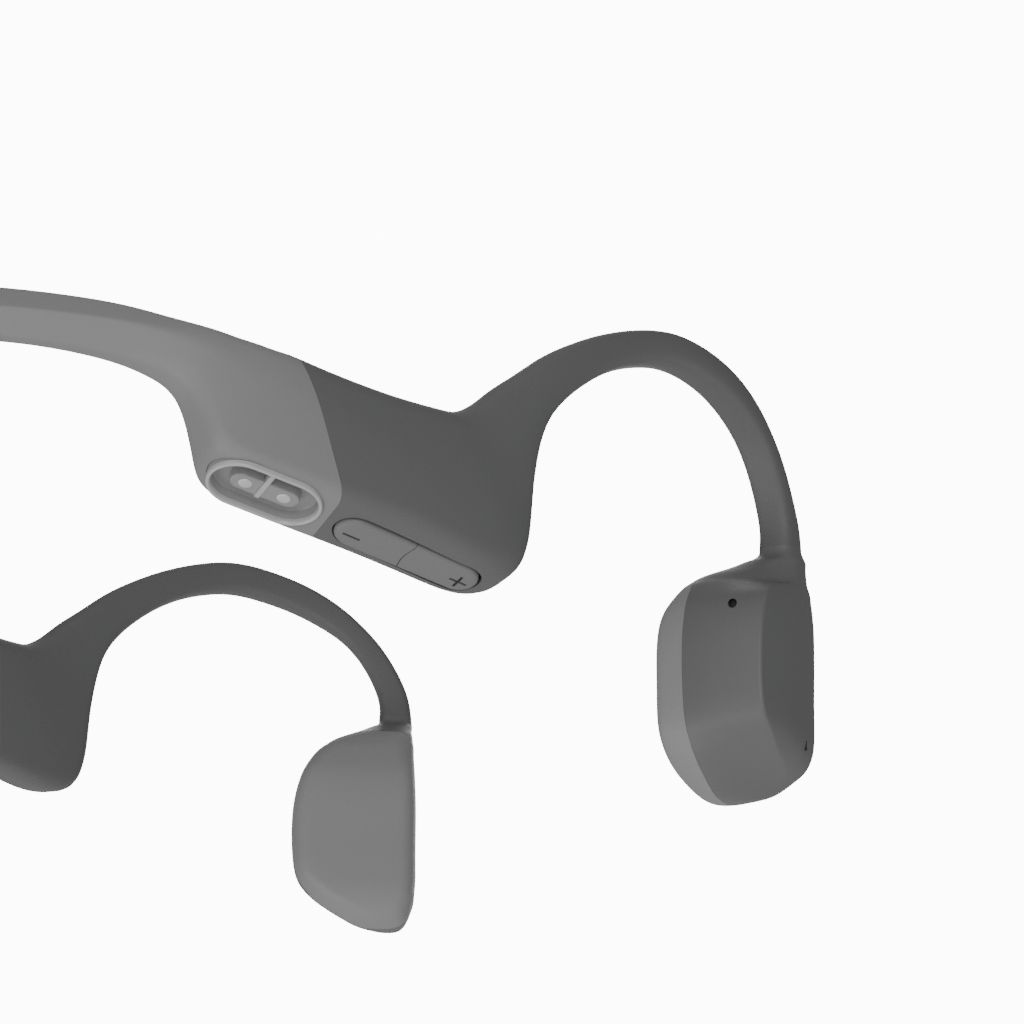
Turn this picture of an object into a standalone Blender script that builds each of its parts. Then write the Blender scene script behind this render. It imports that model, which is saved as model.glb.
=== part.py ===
# Bone conduction headphones: flexible neckband, two arm housings with ear hooks, two transducer pods.
# The wearer faces -Y, the right ear is at -X, up is +Z. Tables are in millimetres, the scene in metres.
# Side coordinates: s runs along the band from the nape, n is outwards from its mid surface, z is up.
import math

import bmesh
import bpy
import numpy as np
from mathutils import Vector

for old in list(bpy.data.objects):
    bpy.data.objects.remove(old, do_unlink=True)

# ---------------------------------------------------------------- driving dimensions, mm
CENTRE_UP = 0.1             # lifts the shape so that its bounding box is centred on the origin
CENTRE_FORWARD = -0.049
WALL = 0.9                  # skin thickness of sleeves, arm covers and pod shells
CLEAR = 0.3                 # gap left between neighbouring pieces
SEAM_ROW = 11.0             # row of ARM where the soft boot meets the dark arm cover
NAPE_ROW = 1.1              # row of ARM where the flexible nape piece ends
WIRE_R = 0.35
HOOK_WIRE_R = 0.21
POD_YAW = math.radians(31.0)
POD_AXIS = (39.9, 50.8)     # sideways, forwards
PAD_SPLIT = -2.75           # depth in the pod where the contact pad meets the shell
PORT_LENGTH, PORT_WIDTH, PORT_DEPTH = 11.8, 6.9, 2.6
KEY_LENGTH, KEY_WIDTH, KEY_DEPTH = 15.9, 4.2, 1.9
KEY_TRAVEL = 0.35

# Centre line of one side in plan: sideways, forwards.
PLAN = [(0, -57.8), (21, -55.2), (33.5, -47.5), (40, -37.6), (43.5, -28.1), (46, -17.8), (47.6, -6.9),
        (48.5, 4.5), (49, 19.4), (48, 33), (46, 44), (41.8, 53.9), (35, 66)]

# Arm sections from the nape to the end of the hook.
# top s, top z, bottom s, bottom z, bow | outer half thickness top, ridge, bottom | inner top, bottom
# | ridge height fraction, underside slant | rounding of top edges, ridge, bottom edges
ARM = [
    (0.0, 15.3, 0.0, 10.5, 0, 0.5, 2.15, 0.4, 1.6, 1.6, .53, 0.0, 0.5, .25, 0.5),
    (20.0, 15.3, 20.0, 10.5, 0, 0.5, 2.15, 0.4, 1.6, 1.6, .53, 0.0, 0.5, .25, 0.5),
    (40.0, 15.4, 40.0, 10.4, 0, 0.5, 2.15, 0.4, 1.6, 1.6, .53, 0.0, 0.5, .25, 0.5),
    (50.0, 15.35, 50.0, 10.3, 0, 0.5, 2.25, 0.4, 1.6, 1.6, .53, 0.0, 0.5, .25, 0.5),
    (56.0, 15.1, 56.0, 9.95, 0, 0.65, 2.35, 0.5, 1.7, 1.7, .51, 0.0, 0.6, .3, 0.6),
    (62.0, 14.6, 61.5, 9.25, 0, 1.0, 2.6, 0.9, 2.0, 2.0, .47, 0.1, 0.9, .4, 0.9),
    (67.0, 13.65, 65.5, 8.15, 0, 1.7, 3.0, 1.7, 2.4, 2.4, .40, 0.3, 1.4, .7, 1.3),
    (70.5, 12.85, 68.4, 6.1, .3, 2.5, 3.4, 2.7, 2.9, 3.0, .32, 0.7, 1.9, 1.2, 1.8),
    (73.0, 12.25, 70.2, 1.7, .8, 2.9, 3.8, 3.4, 3.3, 3.7, .28, 1.3, 2.2, 1.8, 1.8),
    (74.9, 11.85, 71.9, -1.1, 1.2, 3.2, 4.1, 3.9, 3.6, 4.1, .28, 1.9, 2.4, 2.2, 1.4),
    (76.6, 11.45, 76.9, -2.8, 1.0, 3.4, 4.3, 4.2, 3.8, 4.3, .30, 2.2, 2.4, 2.5, 1.3),
    (78.7, 11.05, 83.5, -4.5, .35, 3.5, 4.3, 4.2, 3.9, 4.3, .32, 2.2, 2.4, 3.0, 1.8),
    (82.6, 10.05, 88.8, -5.8, .3, 3.5, 4.3, 4.2, 3.9, 4.3, .40, 2.2, 2.4, 3.0, 2.2),
    (89.0, 8.9, 94.4, -7.4, .3, 3.3, 4.3, 4.2, 3.8, 4.2, .50, 2.0, 2.4, 3.0, 2.4),
    (94.5, 8.45, 99.1, -8.55, 0.4, 3.0, 4.1, 4.0, 3.4, 4.0, .50, 1.6, 2.4, 3.0, 2.4),
    (97.0, 8.7, 102.8, -8.0, 0.2, 2.7, 3.8, 3.6, 3.0, 3.6, .50, 1.1, 2.6, 3.0, 2.6),
    (99.3, 10.0, 104.8, -5.2, 0, 2.4, 3.3, 3.0, 2.6, 3.1, .50, 0.6, 2.8, 3.0, 2.8),
    (101.6, 12.0, 105.5, -0.6, 0, 2.1, 2.9, 2.6, 2.3, 2.6, .50, 0.3, 2.8, 3.0, 2.8),
    (104.2, 14.0, 106.2, 4.4, 0, 1.9, 2.6, 2.2, 2.1, 2.3, .50, 0.1, 2.8, 3.0, 2.8),
    (107.0, 16.2, 107.8, 9.3, 0, 1.8, 2.4, 2.0, 2.0, 2.1, .50, 0.0, 2.8, 3.0, 2.8),
    (109.9, 18.1, 111.4, 13.5, 0, 1.7, 2.3, 1.9, 1.9, 2.0, .50, 0.0, 2.8, 3.0, 2.8),
    (114.5, 20.4, 116.1, 16.8, 0, 1.7, 2.2, 1.8, 1.9, 1.9, .50, 0.0, 2.8, 3.0, 2.8),
    (119.5, 22.1, 120.5, 18.5, 0, 1.6, 2.1, 1.7, 1.8, 1.8, .50, 0.0, 2.8, 3.0, 2.8),
    (124.0, 22.8, 124.1, 19.1, 0, 1.6, 2.1, 1.7, 1.8, 1.8, .50, 0.0, 2.8, 3.0, 2.8),
    (128.5, 22.3, 127.6, 18.8, 0, 1.6, 2.1, 1.7, 1.8, 1.8, .50, 0.0, 2.8, 3.0, 2.8),
    (133.3, 20.8, 131.8, 17.65, 0, 1.6, 2.1, 1.7, 1.8, 1.8, .50, 0.0, 2.8, 3.0, 2.8),
    (137.3, 18.6, 135.6, 15.85, 0, 1.6, 2.1, 1.7, 1.8, 1.8, .50, 0.0, 2.8, 3.0, 2.8),
    (140.2, 16.2, 138.35, 13.95, 0, 1.6, 2.1, 1.7, 1.8, 1.8, .50, 0.0, 2.8, 3.0, 2.8),
    (142.7, 13.5, 140.45, 11.5, 0, 1.6, 2.1, 1.7, 1.8, 1.8, .50, 0.0, 2.8, 3.0, 2.8),
    (144.8, 10.3, 142.0, 8.65, 0, 1.6, 2.1, 1.7, 1.8, 1.8, .50, 0.0, 2.8, 3.0, 2.8),
    (146.2, 7.1, 142.75, 6.2, 0, 1.7, 2.1, 1.7, 1.8, 1.8, .50, 0.0, 2.8, 3.0, 2.8),
    (146.7, 4.3, 142.75, 4.3, 0, 1.7, 2.2, 1.7, 1.9, 1.9, .50, 0.0, 2.8, 3.0, 2.8),
]

# Pod sections from the bottom up: z | rear, front | pad side, outer side | insets | rounding pad, mid, outer
POD = [
    (-23.0, 1.9, 4.5, -2.8, -0.8, 1.0, 1.0, 1.0, 2.0, 1.0),
    (-22.75, 0.1, 5.4, -4.4, 0.6, 2.0, 3.5, 1.8, 3.0, 2.0),
    (-22.2, -1.6, 6.2, -5.45, 2.0, 3.0, 6.0, 1.8, 4.0, 2.0),
    (-21.3, -3.2, 6.7, -6.15, 3.4, 3.2, 7.4, 1.8, 4.0, 1.0),
    (-20.4, -4.4, 7.0, -6.5, 4.6, 2.8, 6.7, 1.6, 4.0, 0.5),
    (-19.4, -5.4, 7.3, -6.65, 5.45, 2.2, 4.2, 1.4, 4.0, 0.4),
    (-18.2, -6.25, 7.4, -6.7, 6.0, 1.6, 2.5, 1.4, 4.0, 0.4),
    (-16.9, -6.95, 7.5, -6.65, 6.25, 1.2, 1.2, 1.4, 4.0, 0.4),
    (-14.9, -7.45, 7.5, -6.6, 6.35, 1.1, 0.65, 1.4, 4.0, 0.4),
    (-11.8, -7.7, 7.5, -6.5, 6.4, 1.1, 0.6, 1.4, 4.0, 0.4),
    (-8.0, -7.6, 7.5, -6.5, 6.5, 1.1, 0.6, 1.4, 4.0, 0.4),
    (-4.9, -7.0, 7.4, -6.3, 6.55, 1.1, 0.7, 1.4, 4.0, 0.4),
    (-2.9, -6.2, 7.3, -5.75, 6.45, 1.1, 1.4, 1.8, 4.0, 0.4),
    (-1.3, -5.1, 7.2, -5.1, 6.25, 1.1, 3.8, 2.2, 3.0, 0.4),
    (-0.5, -4.2, 7.2, -4.6, 6.1, 1.1, 5.4, 2.3, 3.0, 0.5),
    (0.4, -3.0, 7.1, -3.8, 5.95, 1.1, 5.2, 2.5, 3.0, 1.2),
    (1.4, -1.0, 7.0, -2.5, 5.9, 1.1, 3.4, 2.6, 3.0, 2.0),
    (2.3, 0.6, 6.9, -1.0, 5.9, 1.0, 2.0, 2.6, 3.0, 2.6),
    (3.1, 1.7, 7.0, 0.0, 5.95, .9, 1.2, 2.6, 3.0, 2.6),
    (4.0, 2.5, 7.1, 0.95, 5.95, .8, .8, 2.6, 3.0, 2.6),
]


# ---------------------------------------------------------------- curves and sections
def spline(rows, at, knots=None):
    """Natural cubic spline through the rows, evaluated at the given positions."""
    y = np.asarray(rows, float)
    count = len(y)
    x = np.arange(count, dtype=float) if knots is None else np.asarray(knots, float)
    at = np.atleast_1d(np.asarray(at, float))
    h = np.diff(x)
    matrix, right = np.zeros((count, count)), np.zeros_like(y)
    matrix[0, 0] = matrix[-1, -1] = 1.0
    for i in range(1, count - 1):
        matrix[i, i - 1:i + 2] = h[i - 1], 2 * (h[i - 1] + h[i]), h[i]
        right[i] = 6 * ((y[i + 1] - y[i]) / h[i] - (y[i] - y[i - 1]) / h[i - 1])
    bend = np.linalg.solve(matrix, right)
    k = np.clip(np.searchsorted(x, at, side="right") - 1, 0, count - 2)
    up, down, hk = (at - x[k])[:, None], (x[k + 1] - at)[:, None], h[k][:, None]
    return ((bend[k] * down ** 3 + bend[k + 1] * up ** 3) / (6 * hk)
            + (y[k] / hk - bend[k] * hk / 6) * down + (y[k + 1] / hk - bend[k + 1] * hk / 6) * up)


PLAN_CHORD = np.r_[0, np.cumsum(np.linalg.norm(np.diff(np.array(PLAN, float), axis=0), axis=1))]
PLAN_FINE = spline(PLAN, np.linspace(0, PLAN_CHORD[-1], 1500), PLAN_CHORD)
PLAN_S = np.r_[0, np.cumsum(np.linalg.norm(np.diff(PLAN_FINE, axis=0), axis=1))]
PLAN_DIR = np.gradient(PLAN_FINE, axis=0)
PLAN_DIR /= np.linalg.norm(PLAN_DIR, axis=1)[:, None]


def place(snz, side):
    """Side coordinates (s, n, z) to scene millimetres; side is -1 for the right ear, +1 for the left."""
    s, n, z = np.asarray(snz, float).reshape(-1, 3).T
    spot = np.stack([np.interp(s, PLAN_S, PLAN_FINE[:, i]) for i in (0, 1)], -1)
    ahead = np.stack([np.interp(s, PLAN_S, PLAN_DIR[:, i]) for i in (0, 1)], -1)
    spot = spot + n[:, None] * np.stack([ahead[:, 1], -ahead[:, 0]], -1)
    return np.stack([side * spot[:, 0], -spot[:, 1] + CENTRE_FORWARD, z + CENTRE_UP], -1)


def rounded(corners, radii, steps=3):
    """Closed outline with each corner eased by a short curve; a zero radius keeps the plain corner."""
    corners, out = [np.asarray(c, float) for c in corners], []
    for k, corner in enumerate(corners):
        before, after = corners[k - 1] - corner, corners[(k + 1) % len(corners)] - corner
        if radii[k] == 0:
            out.append(corner)
            continue
        a, b = (v / np.linalg.norm(v) * min(radii[k], 0.46 * np.linalg.norm(v)) for v in (before, after))
        for t in np.linspace(0, 1, steps):
            out.append(corner + (1 - t) ** 2 * a + t ** 2 * b)
    return np.array(out)


def arm_section(row, inset=0.0):
    """Closed section of the arm in side coordinates, walls drawn in by the inset."""
    st, zt, sb, zb, bow, ot, ridge, ob, it, ib, frac, slant, r_top, r_ridge, r_bottom = row
    length = math.hypot(sb - st, zb - zt)

    def corner(v, n):
        v = (v * (length - 2 * inset) + inset) / length
        tilt = v * slant * n / (ob + ib)
        return st + (sb - st) * v + bow * 4 * v * (1 - v), n, zt + (zb - zt) * v + tilt

    corners = [corner(0, inset - it), corner(0, ot - inset), corner(frac, ridge - inset),
               corner(1, ob - inset), corner(1, inset - ib), corner(0.5, inset - (it + ib) / 2)]
    radii = [max(r - 0.8 * inset, 0.15) for r in (r_top, r_top, r_ridge, r_bottom, r_bottom)] + [0]
    return rounded(corners, radii)


def arm_rings(rows_at, side, inset=0.0):
    return [place(arm_section(row, inset), side) for row in spline(ARM, rows_at)]


def arm_line(rows_at, side, fraction, n=0.0):
    """Line running inside the arm at a height fraction of its sections."""
    rows = spline(ARM, rows_at)
    s = rows[:, 0] + (rows[:, 2] - rows[:, 0]) * fraction
    z = rows[:, 1] + (rows[:, 3] - rows[:, 1]) * fraction
    return place(np.stack([s, np.full(len(s), n), z], -1), side)


def pod_place(wtz, side):
    """Pod coordinates (forwards w, outwards t, z) to scene millimetres."""
    w, t, z = np.asarray(wtz, float).reshape(-1, 3).T
    across = POD_AXIS[0] - math.sin(POD_YAW) * w + math.cos(POD_YAW) * t
    ahead = POD_AXIS[1] + math.cos(POD_YAW) * w + math.sin(POD_YAW) * t
    return np.stack([side * across, -ahead + CENTRE_FORWARD, z + CENTRE_UP], -1)


def pod_rings(rows_at, side, inset=0.0, squeeze=0.0):
    rings = []
    for z, rear, front, pad, outer, e_pad, e_out, r_pad, r_mid, r_out in spline(POD, rows_at):
        rear, front, pad, outer = rear + inset, front - inset, pad + inset, outer - inset
        waist = pad + 0.38 * (outer - pad)
        left, right = rear + e_out, front - min(e_out, 0.6)
        crown = 0.045 * (right - left)
        corners = [(rear + e_pad, pad), (rear, waist), (left, outer - crown / 2), ((left + right) / 2, outer + crown),
                   (right, outer - crown / 2), (front, waist), (front - min(e_pad, 0.6), pad)]
        radii = [max(r - 0.7 * inset, 0.2) for r in (r_pad, r_mid, r_out, 6.0, r_out, r_mid, r_pad)]
        ring = rounded(corners, radii)
        level = z - squeeze * min(max((z + 12.0) / 11.0, -1.0), 1.0)
        rings.append(pod_place(np.column_stack([ring, np.full(len(ring), level)]), side))
    return rings


# ---------------------------------------------------------------- meshes
MATERIALS = {}
SPOTS = {}                  # scene position of every group


def material(name, colour, roughness, metallic=0.0):
    if name not in MATERIALS:
        made = bpy.data.materials.new(name)
        made.use_nodes = True
        shader = made.node_tree.nodes["Principled BSDF"]
        shader.inputs["Base Color"].default_value = (*colour, 1.0)
        shader.inputs["Roughness"].default_value = roughness
        shader.inputs["Metallic"].default_value = metallic
        made.diffuse_color = (*colour, 1.0)
        MATERIALS[name] = made
    return MATERIALS[name]


SOFT = material("light_silicone", (0.21, 0.21, 0.215), 0.6)
DARK = material("dark_silicone", (0.075, 0.075, 0.08), 0.55)
SHELL = material("pod_plastic", (0.09, 0.09, 0.095), 0.5)
PAD = material("pad_silicone", (0.19, 0.19, 0.195), 0.6)
STEEL = material("steel", (0.55, 0.55, 0.56), 0.3, 1.0)
TITANIUM = material("titanium_wire", (0.45, 0.43, 0.41), 0.35, 1.0)
COPPER = material("copper_coil", (0.72, 0.33, 0.16), 0.35, 1.0)
MAGNET = material("magnet_nickel", (0.62, 0.61, 0.58), 0.22, 1.0)
GOLD = material("contact_plating", (0.75, 0.7, 0.6), 0.25, 1.0)
BOARD = material("circuit_board", (0.02, 0.12, 0.06), 0.5)
BLACK = material("black_plastic", (0.02, 0.02, 0.022), 0.5)
FOIL = material("battery_foil", (0.32, 0.33, 0.36), 0.4, 0.6)
INSULATION = material("cable_insulation", (0.03, 0.03, 0.035), 0.45)


def solid(name, points, faces, skin, parent, pivot=None):
    """Object from millimetre points; its origin sits on the pivot, or on the middle of its points."""
    points = np.asarray(points, float) / 1000.0
    origin = (points.min(0) + points.max(0)) / 2 if pivot is None else np.asarray(pivot, float) / 1000.0
    mesh = bpy.data.meshes.new(name)
    mesh.from_pydata([tuple(p) for p in points - origin], [], faces)
    work = bmesh.new()
    work.from_mesh(mesh)
    bmesh.ops.recalc_face_normals(work, faces=work.faces)
    work.to_mesh(mesh)
    work.free()
    mesh.materials.append(skin)
    thing = bpy.data.objects.new(name, mesh)
    bpy.context.scene.collection.objects.link(thing)
    thing.location = origin
    if parent is not None:
        thing.parent = parent
        thing.location = Vector(origin) - SPOTS[parent.name]
    mesh.shade_smooth()
    mesh.set_sharp_from_angle(angle=math.radians(35))
    return thing


def bridge(count, start_a, start_b):
    """Quads between two rings of equal count."""
    return [(start_a + j, start_a + (j + 1) % count, start_b + (j + 1) % count, start_b + j)
            for j in range(count)]


def loft(rings):
    """Closed solid through rings of equal count, each end closed by a fan on its middle point."""
    count, points, faces = len(rings[0]), list(np.vstack(rings)), []
    for i in range(len(rings) - 1):
        faces += bridge(count, i * count, (i + 1) * count)
    for ring, start in ((rings[0], 0), (rings[-1], (len(rings) - 1) * count)):
        points.append(ring.mean(0))
        faces += [(start + j, start + (j + 1) % count, len(points) - 1) for j in range(count)]
    return points, faces


def tube(outer, inner):
    """Open ended hollow skin between two matching sets of rings."""
    count, levels = len(outer[0]), len(outer)
    shift, faces = count * levels, []
    for base in (0, shift):
        for i in range(levels - 1):
            faces += bridge(count, base + i * count, base + (i + 1) * count)
    faces += bridge(count, 0, shift) + bridge(count, shift - count, 2 * shift - count)
    return np.vstack(outer + inner), faces


def rod(line, radius, sides=6):
    """Round bar along a line of points."""
    line = np.asarray(line, float)
    ahead = np.gradient(line, axis=0)
    rings, up = [], np.array([0.31, 0.17, 0.93])
    for spot, way in zip(line, ahead):
        way = way / np.linalg.norm(way)
        up = up - way * (up @ way)
        up /= np.linalg.norm(up)
        side = np.cross(way, up)
        turn = [2 * math.pi * k / sides for k in range(sides)]
        rings.append(np.array([spot + radius * (math.cos(a) * up + math.sin(a) * side) for a in turn]))
    return loft(rings)


class Frame:
    """Local axes in scene millimetres: u and v span a face, w points away from it."""

    def __init__(self, origin, u, w):
        self.o, self.u, self.w = (np.asarray(a, float) for a in (origin, u, w))
        self.u /= np.linalg.norm(self.u)
        self.w -= self.u * (self.w @ self.u)
        self.w /= np.linalg.norm(self.w)
        self.v = np.cross(self.w, self.u)

    def at(self, u, v, w):
        return self.o + u * self.u + v * self.v + w * self.w

    def prism(self, outline, low, high):
        rings = [np.array([self.at(u, v, w) for u, v in outline]) for w in (low, high)]
        return loft(rings)


def stadium(length, width, steps=6, centre=(0.0, 0.0)):
    """Outline with round ends, long side along u."""
    radius, half, out = width / 2, (length - width) / 2, []
    for end in (1, -1):
        for k in range(steps + 1):
            a = -math.pi / 2 + math.pi * k / steps
            out.append((centre[0] + end * (half + radius * math.cos(a)), centre[1] + end * radius * math.sin(a)))
    return out


def block(length, width, corner=0.4, centre=(0.0, 0.0)):
    """Rectangle with eased corners."""
    a, b = length / 2, width / 2
    spots = [(centre[0] + x, centre[1] + y) for x, y in ((-a, -b), (a, -b), (a, b), (-a, b))]
    return [tuple(p) for p in rounded(spots, [corner] * 4)]


def disc(radius, centre=(0.0, 0.0), sides=16):
    turn = [2 * math.pi * k / sides for k in range(sides)]
    return [(centre[0] + radius * math.cos(a), centre[1] + radius * math.sin(a)) for a in turn]


def carve(target, cutters):
    """Cut the closed shapes (points, faces) out of the target."""
    for number, (points, faces) in enumerate(cutters):
        cutter = solid(f"cut_{target.name}_{number}", points, faces, BLACK, None)
        cutter.hide_render = True
        cutter.display_type = "WIRE"
        cutting = target.modifiers.new(f"cut_{number}", "BOOLEAN")
        cutting.operation, cutting.solver, cutting.object = "DIFFERENCE", "EXACT", cutter


def group(name, location, parent=None):
    empty = bpy.data.objects.new(name, None)
    bpy.context.scene.collection.objects.link(empty)
    SPOTS[name] = Vector(location) / 1000.0
    empty.location = SPOTS[name]
    empty.empty_display_size = 0.01
    if parent is not None:
        empty.parent = parent
        empty.location = SPOTS[name] - SPOTS[parent.name]
    return empty


# ---------------------------------------------------------------- local axes of the fitted pieces
def underside(s, n, z, side, lean=0.26, drop=-0.245):
    """Axes on the slanted underside of an arm: u forwards along it, w out of it."""
    here, ahead = place([(s, n, z), (s + 1.0, n, z + drop)], side)
    outer = place([(s, n + 1.0, z + lean)], side)[0]
    along, across = ahead - here, outer - here
    face = np.cross(along, across)
    return Frame(here, along, face if face[2] < 0 else -face)


def housing_frame(s, n, z, side, drop=-0.27):
    """Axes in the middle of a housing: u forwards, w outwards."""
    here, ahead = place([(s, n, z), (s + 1.0, n, z + drop)], side)
    outer = place([(s, n + 1.0, z)], side)[0]
    return Frame(here, ahead - here, outer - here)


def pod_frame(side, t, w=0.0, z=-12.0):
    """Axes in a pod: u upwards, w outwards along the pod normal."""
    here, out, up = pod_place([(w, t, z), (w, t + 1.0, z), (w, t, z + 1.0)], side)
    return Frame(here, up - here, out - here)


# ---------------------------------------------------------------- neckband
nape_pivot = place([(0.0, 0.0, 12.7)], -1)[0]
right_side = group("right_side", nape_pivot)
left_side = group("left_side", nape_pivot, right_side)
SIDES = (("right", -1, right_side), ("left", 1, left_side))

band_rows = np.r_[np.linspace(NAPE_ROW + CLEAR / 20, 4, 9), np.arange(5, 11), SEAM_ROW - 0.03]
nape_rows = np.linspace(0, NAPE_ROW, 5)


def across_nape(maker, *values):
    """Rings or points from the left over the nape to the right."""
    left, right = maker(nape_rows[::-1], 1, *values), maker(nape_rows[1:], -1, *values)
    return list(left) + list(right)


solid("sleeve_nape", *tube(across_nape(arm_rings), across_nape(arm_rings, WALL)), SOFT, right_side)

sleeves, arms = {}, {}
arm_rows = np.r_[SEAM_ROW + 0.03, np.arange(12, 31), 31]
for label, side, parent in SIDES:
    sleeves[label] = solid(f"sleeve_{label}", *tube(arm_rings(band_rows, side), arm_rings(band_rows, side, WALL)),
                           SOFT, parent)
    arms[label] = solid(f"arm_cover_{label}", *tube(arm_rings(arm_rows, side), arm_rings(arm_rows, side, WALL)),
                        DARK, parent)

full_rows = np.r_[np.linspace(0, 4, 13), 5, 6, 7]
for name, fraction, skin in (("neckband_wire", 0.38, TITANIUM), ("neckband_cable", 0.60, INSULATION)):
    line = np.vstack([arm_line(full_rows[::-1], 1, fraction, -0.2), arm_line(full_rows[1:], -1, fraction, -0.2)])
    solid(name, *rod(line, WIRE_R), skin, right_side)

hook_rows = np.r_[np.arange(17, 31), 31]
for label, side, parent in SIDES:
    for name, fraction, skin in (("wire", 0.41, TITANIUM), ("cable", 0.59, INSULATION)):
        inside = [(5.1 + 3.6 * (0.5 - fraction), 3.3, z) for z in (2.9, 1.4)]
        line = np.vstack([arm_line(hook_rows, side, fraction, -0.2), pod_place(inside, side)])
        solid(f"hook_{name}_{label}", *rod(line, HOOK_WIRE_R), skin, parent)

# ---------------------------------------------------------------- charging port in the right boot
port = underside(76.75, 0.3, -3.0, -1)
carve(sleeves["right"], [port.prism(stadium(PORT_LENGTH + 0.6, PORT_WIDTH + 0.6, 8), -PORT_DEPTH - 0.6, 2.5)])
# inset and depth of the moulding: rim, well, and the raised island that carries the contacts
port_profile = [(0.0, -PORT_DEPTH), (0.0, 0.1), (0.5, 0.1), (0.5, -1.45), (2.2, -1.45), (2.2, -0.45)]
port_outlines = [stadium(PORT_LENGTH - 2 * inset, PORT_WIDTH - 2 * inset, 8) for inset, _ in port_profile]
port_rings = [np.array([port.at(u, v, depth) for u, v in outline])
              for outline, (_, depth) in zip(port_outlines, port_profile)]
port_frame = solid("charging_port_frame", *loft(port_rings), SOFT, right_side)
contact_spots = ((-2.1, 0.0), (2.1, 0.0))
carve(port_frame, [port.prism(disc(0.9, spot, 12), -PORT_DEPTH - 1, 1.0) for spot in contact_spots])
for number, spot in enumerate(contact_spots, 1):
    solid(f"charging_contact_{number}", *port.prism(disc(0.6, spot, 14), -PORT_DEPTH - 0.8, -0.4), GOLD, right_side)
for number, along in enumerate((-4.2, 4.2), 1):
    solid(f"port_magnet_{number}", *port.prism(disc(0.95, (along, 0.0), 14), -PORT_DEPTH - 1.5, -PORT_DEPTH - 0.3),
          MAGNET, right_side)

# ---------------------------------------------------------------- volume keys under the right housing
keys = underside(92.3, -0.2, -6.87, -1)
carve(arms["right"], [keys.prism(stadium(KEY_LENGTH + 0.6, KEY_WIDTH + 0.6), -KEY_DEPTH - 1.2, 3.0)])
for name, sign in (("volume_down", -1), ("volume_up", 1)):
    half = [(u, v) for u, v in stadium(KEY_LENGTH, KEY_WIDTH) if u * sign > 0]
    cut = [(sign * CLEAR / 2, KEY_WIDTH / 2), (sign * CLEAR / 2, -KEY_WIDTH / 2)]
    outline = half + (cut if sign > 0 else [(u, -v) for u, v in cut])
    centre = keys.at(sign * KEY_LENGTH / 4, 0, 0)
    points, faces = keys.prism(outline, -KEY_DEPTH, 0.15)
    solid(f"{name}_button", points, faces, DARK, right_side, centre)
    solid(f"{name}_switch", *keys.prism(block(3.0, 2.2, 0.3, (sign * 4.0, 0.3)), -KEY_DEPTH - 1.6,
                                        -KEY_DEPTH - KEY_TRAVEL - 0.15), STEEL, right_side)

# ---------------------------------------------------------------- electronics and battery
board = housing_frame(89.5, -1.1, 2.4, -1)
solid("main_pcb", *board.prism(block(15.0, 9.0, 1.0), -0.4, 0.4), BOARD, right_side)
solid("processor_shield", *board.prism(block(7.0, 6.0, 0.5, (-2.0, 0.4)), 0.7, 2.1), STEEL, right_side)
cell = housing_frame(88.5, 0.0, 1.3, 1)
solid("battery", *cell.prism(block(15.0, 9.2, 1.4), -2.3, 2.3), FOIL, left_side)
guard = housing_frame(77.6, -0.2, 4.2, 1)
solid("battery_protection_board", *guard.prism(block(3.6, 6.0, 0.4), -0.4, 0.4), BOARD, left_side)

# ---------------------------------------------------------------- transducer pods
shell_rows, cavity_rows = np.arange(20), np.arange(4, 18)
for label, side, parent in SIDES:
    shell = solid(f"pod_shell_{label}", *loft(pod_rings(shell_rows, side)), SHELL, parent)
    face = pod_frame(side, 0.0)
    opening = face.prism(block(40, 30, 0.5), -12.0, PAD_SPLIT)
    neck, ahead, above = pod_place([(4.8, 3.5, 0.0), (5.8, 3.5, 0.0), (4.8, 3.5, 1.0)], side)
    bore = Frame(neck, ahead - neck, above - neck)
    carve(shell, [loft(pod_rings(cavity_rows, side, WALL, 0.8)), opening, bore.prism(disc(1.35), 0.0, 6.0)])
    pad = solid(f"contact_pad_{label}", *loft(pod_rings(shell_rows, side)), PAD, parent)
    carve(pad, [face.prism(block(44, 34, 0.5), PAD_SPLIT - CLEAR, 12.0)])

    driver = pod_frame(side, 0.0, 0.4, -11.2)
    yoke = solid(f"driver_yoke_{label}", *driver.prism(block(12.4, 9.8, 1.4), -0.6, 4.3), STEEL, parent)
    carve(yoke, [driver.prism(block(11.0, 8.2, 0.8), -2.0, 3.3)])
    solid(f"driver_magnet_{label}", *driver.prism(block(7.6, 4.8, 0.4), 0.7, 3.0), MAGNET, parent)
    solid(f"driver_top_plate_{label}", *driver.prism(block(7.6, 4.8, 0.4), -0.5, 0.4), STEEL, parent)
    outer, inner = block(10.3, 7.5, 1.0), block(8.5, 5.7, 0.8)
    coil = tube([np.array([driver.at(u, v, w) for u, v in outer]) for w in (-1.1, 1.3)],
                [np.array([driver.at(u, v, w) for u, v in inner]) for w in (-1.1, 1.3)])
    solid(f"voice_coil_{label}", *coil, COPPER, parent)
    spring = solid(f"spring_plate_{label}", *driver.prism(block(14.4, 10.8, 1.5), -1.75, -1.45), STEEL, parent)
    carve(spring, [driver.prism(stadium(9.4, 1.6, 5, (0.0, v)), -3, 0) for v in (-2.6, 2.6)])

# microphone behind its port in the rear wall of the right pod
mic = pod_place([(-4.6, 2.15, -3.8), (-5.55, 2.4, -4.1), (-4.35, 3.1, -3.8)], -1)
mic_axis = Frame(mic[0], mic[2] - mic[0], mic[1] - mic[0])
carve(bpy.data.objects["pod_shell_right"], [mic_axis.prism(disc(0.45, sides=10), 0.0, 5.0)])
solid("microphone_right", *mic_axis.prism(block(1.9, 1.1, 0.2), -1.75, -1.2), STEEL, right_side)

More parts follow.
